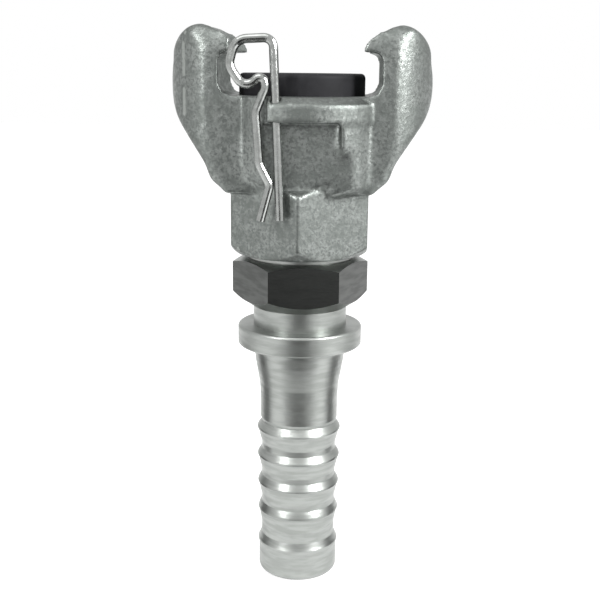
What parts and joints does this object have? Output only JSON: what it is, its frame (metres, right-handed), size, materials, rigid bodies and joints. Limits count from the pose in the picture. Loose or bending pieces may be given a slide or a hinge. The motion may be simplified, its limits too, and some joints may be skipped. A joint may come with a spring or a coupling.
{
  "type": "claw hose coupling",
  "caption": "Two-claw quick hose coupling: cast head with face gasket and wire safety clip, screwed to a barbed hose stem with hexagon and clamp collar.",
  "frame": {"origin": "centre of the hose stem's lower end face, on the waterway's axis", "axes": "+Z along the waterway towards the claws, claws at +X and -X, safety clip on the -Y side"},
  "size_m": [0.061, 0.042, 0.1362],
  "materials": {
    "cast_zinc": "zinc plated casting",
    "gasket_rubber": "matt",
    "turned_zinc": "satin zinc plate",
    "clip_wire": "bright wire"
  },
  "bodies": {
    "coupling": {"claw_head": "cast_zinc", "face_gasket": "gasket_rubber", "hose_stem": "turned_zinc"},
    "clip": {"safety_clip": "clip_wire"}
  },
  "joints": [
    {"name": "clip_pull", "type": "slide", "parent": "coupling", "child": "clip", "axis": [-0.0419, 0, 0.9991], "range_m": [0, 0.008]}
  ]
}
